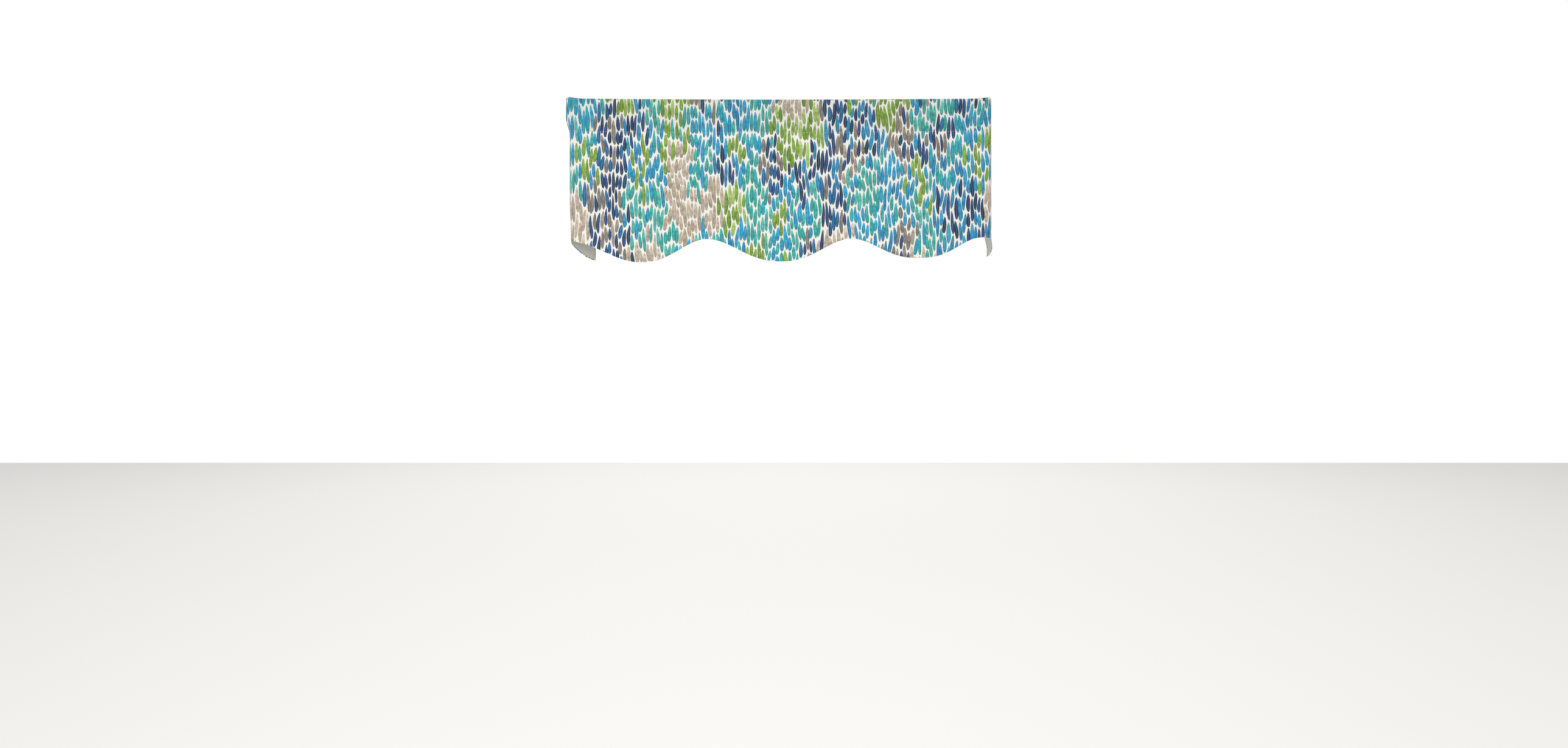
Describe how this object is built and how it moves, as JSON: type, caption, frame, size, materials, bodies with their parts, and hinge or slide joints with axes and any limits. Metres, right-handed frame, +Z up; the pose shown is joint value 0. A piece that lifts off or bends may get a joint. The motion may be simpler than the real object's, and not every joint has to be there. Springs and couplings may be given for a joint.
{
  "type": "window valance",
  "caption": "Lined cloth window valance with a rod pocket along its top fold, a flat front with a scalloped hem, and returns that run back to the wall.",
  "frame": {"origin": "middle of the top fold, where the rod pocket hangs on its rod", "axes": "+X along the rod to the viewer's right, +Y back towards the wall, so the printed front faces -Y, +Z up"},
  "size_m": [1.0983, 0.1077, 0.4229],
  "materials": {
    "printed_canvas": "plain-woven cotton canvas, printed all over with small upright leaf shapes in blues, teal, greens and taupe on off-white",
    "lining_cloth": "plain off-white lining cloth, matt"
  },
  "bodies": {
    "root": {"face_panel": "printed_canvas", "pocket_back": "printed_canvas", "lining": "lining_cloth"}
  },
  "joints": []
}
